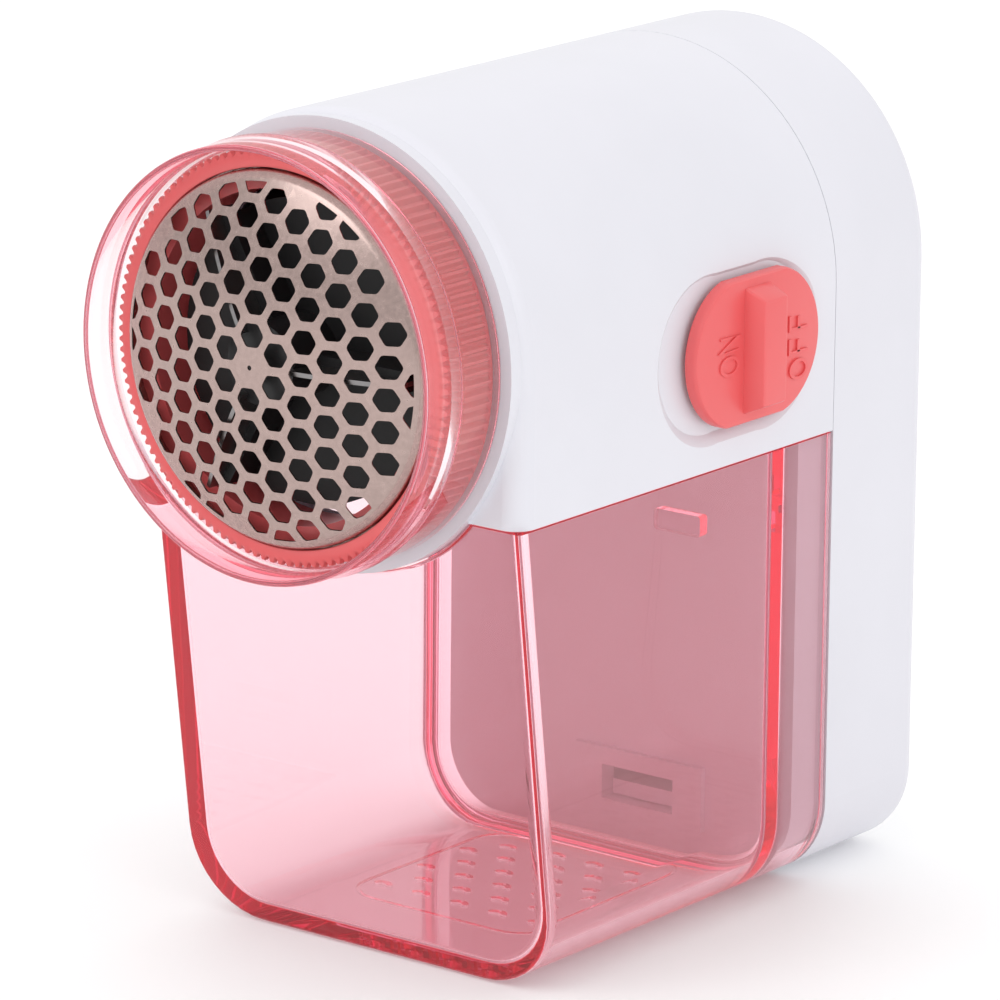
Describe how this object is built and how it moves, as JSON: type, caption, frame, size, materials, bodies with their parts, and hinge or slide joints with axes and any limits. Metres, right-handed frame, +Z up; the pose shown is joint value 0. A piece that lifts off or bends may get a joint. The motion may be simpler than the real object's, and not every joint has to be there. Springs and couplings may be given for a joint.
{
  "type": "fabric shaver",
  "caption": "Battery fabric shaver: white arched casing, screw-on perforated steel foil with a clear guard ring, slide switch, and a clear pink lint bin below.",
  "frame": {"origin": "on the base plane, under the middle of the casing's width and of its depth from front wall to rear cover", "axes": "+Z up from the base, -Y out of the shaving head, +X towards the side with the switch"},
  "size_m": [0.0562, 0.0919, 0.0975],
  "materials": {
    "white_abs": "smooth cool white, satin gloss",
    "clear_pink": "clear tinted pink, glossy",
    "coral_plastic": "coral red, satin",
    "foil_steel": "perforated stainless steel, warm grey, polished",
    "black_plastic": "matte",
    "blade_steel": "ground",
    "spring_steel": "drawn wire",
    "core_steel": "laminated",
    "copper_wire": "enamelled copper",
    "bronze": "sintered bronze",
    "plated_steel": "zinc plated",
    "ferrite": "pressed ferrite",
    "brass": "stamped brass",
    "felt": "pressed felt",
    "cell_jacket": "printed film with no marks",
    "phenolic": "paper laminate",
    "red_insulation": "soft vinyl",
    "black_insulation": "soft vinyl"
  },
  "bodies": {
    "housing": {"main_housing": "white_abs", "motor_can": "plated_steel", "motor_magnets": "ferrite", "motor_end_cap": "black_plastic", "motor_terminals": "brass", "shaft_bush": "bronze", "shaft_seal": "felt", "motor_bracket": "plated_steel", "bracket_screws": "plated_steel", "chamber_liner": "black_plastic", "battery_tray": "white_abs", "tray_screws": "plated_steel", "battery_left": "cell_jacket", "battery_right": "cell_jacket", "battery_springs": "spring_steel", "bridge_contact": "plated_steel", "top_contacts": "plated_steel", "switch_base": "phenolic", "switch_terminals": "brass", "base_screws": "plated_steel", "red_leads": "red_insulation", "black_lead": "black_insulation"},
    "cover": {"rear_cover": "white_abs"},
    "bin": {"lint_bin": "clear_pink"},
    "foil_cap": {"foil": "foil_steel", "foil_frame": "coral_plastic"},
    "nut": {"foil_nut": "coral_plastic"},
    "guard": {"guard_ring": "clear_pink"},
    "rotor": {"motor_shaft": "blade_steel", "armature_core": "core_steel", "armature_windings": "copper_wire", "commutator": "bronze", "cutter_spring": "spring_steel"},
    "cutter": {"cutter_hub": "black_plastic", "cutter_blades": "blade_steel"},
    "slider": {"switch_slider": "coral_plastic", "slider_retainer": "white_abs", "slider_screw": "plated_steel", "switch_wiper": "brass"}
  },
  "joints": [
    {"name": "bin_pull", "type": "slide", "parent": "housing", "child": "bin", "axis": [0, 0, -1], "range_m": [0, 0.056]},
    {"name": "cover_slide", "type": "slide", "parent": "housing", "child": "cover", "axis": [0, 1, 0], "range_m": [0, 0.03]},
    {"name": "switch_slide", "type": "slide", "parent": "housing", "child": "slider", "axis": [0, -1, 0], "range_m": [0, 0.0035]},
    {"name": "nut_turn", "type": "hinge", "parent": "foil_cap", "child": "nut", "pos_m": [0, -0.04375, 0.0715], "axis": [0, -1, 0], "range_deg": [0, 540]},
    {"name": "foil_advance", "type": "slide", "parent": "housing", "child": "foil_cap", "axis": [0, -1, 0], "range_m": [0, 0.0061]},
    {"name": "guard_pull", "type": "slide", "parent": "nut", "child": "guard", "axis": [0, -1, 0], "range_m": [0, 0.013]},
    {"name": "rotor_spin", "type": "hinge", "parent": "housing", "child": "rotor", "pos_m": [0, -0.04375, 0.0715], "axis": [0, 1, 0], "continuous": true},
    {"name": "cutter_float", "type": "slide", "parent": "rotor", "child": "cutter", "axis": [0, 1, 0], "range_m": [0, 0.001], "stiffness_N_per_m": 400, "springref_m": -0.002}
  ],
  "couplings": [
    {"joint": "foil_advance", "follows": "nut_turn", "m_per_rad": 0.00063662}
  ]
}
